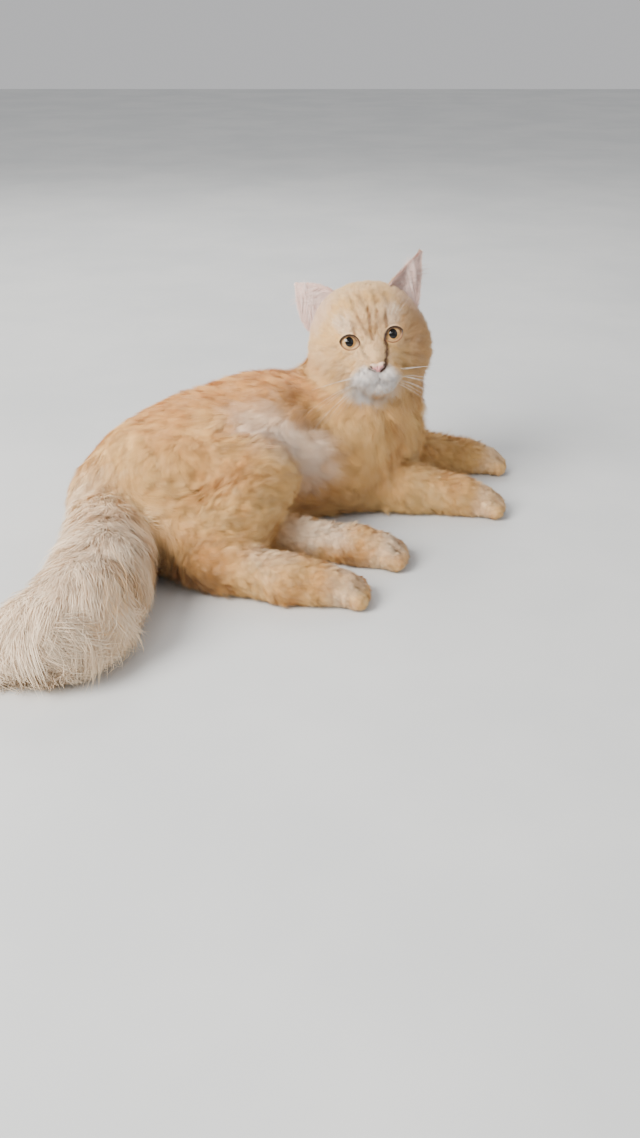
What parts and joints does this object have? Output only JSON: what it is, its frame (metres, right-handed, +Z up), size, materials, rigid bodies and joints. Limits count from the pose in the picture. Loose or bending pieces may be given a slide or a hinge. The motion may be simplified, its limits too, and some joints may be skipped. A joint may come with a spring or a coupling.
{
  "type": "persian cat",
  "caption": "Cream longhaired cat that lies on its hip with its head raised towards the viewer, forelegs stretched out and its bushy tail laid forward.",
  "frame": {"origin": "middle of the bounding box, on the floor that the cat lies on", "axes": "+Z up, +X along the body towards the forepaws, -Y towards the viewer of the picture"},
  "size_m": [0.5138, 0.4764, 0.2529],
  "materials": {
    "coat": "long soft fur, cream to light orange",
    "pale_coat": "long soft fur, pale cream",
    "ear": "thin pinkish skin with short fur and long white inner hair",
    "eye": "wet, clear, amber iris with a black pupil",
    "nose": "moist pink leather"
  },
  "bodies": {
    "root": {"head": "coat", "ear_right": "ear", "ear_left": "ear", "eye_right": "eye", "eye_left": "eye", "nose": "nose", "torso": "coat", "neck": "coat", "thigh_right": "coat", "shank_right": "coat", "hindpaw_right": "coat", "foot_right": "coat", "thigh_left": "coat", "hindpaw_left": "coat", "foot_left": "coat", "forepaw_right": "coat", "foreleg_right": "coat", "forepaw_left": "coat", "foreleg_left": "coat", "tail_base": "pale_coat", "tail_middle": "pale_coat", "tail_tip": "pale_coat"}
  },
  "joints": []
}
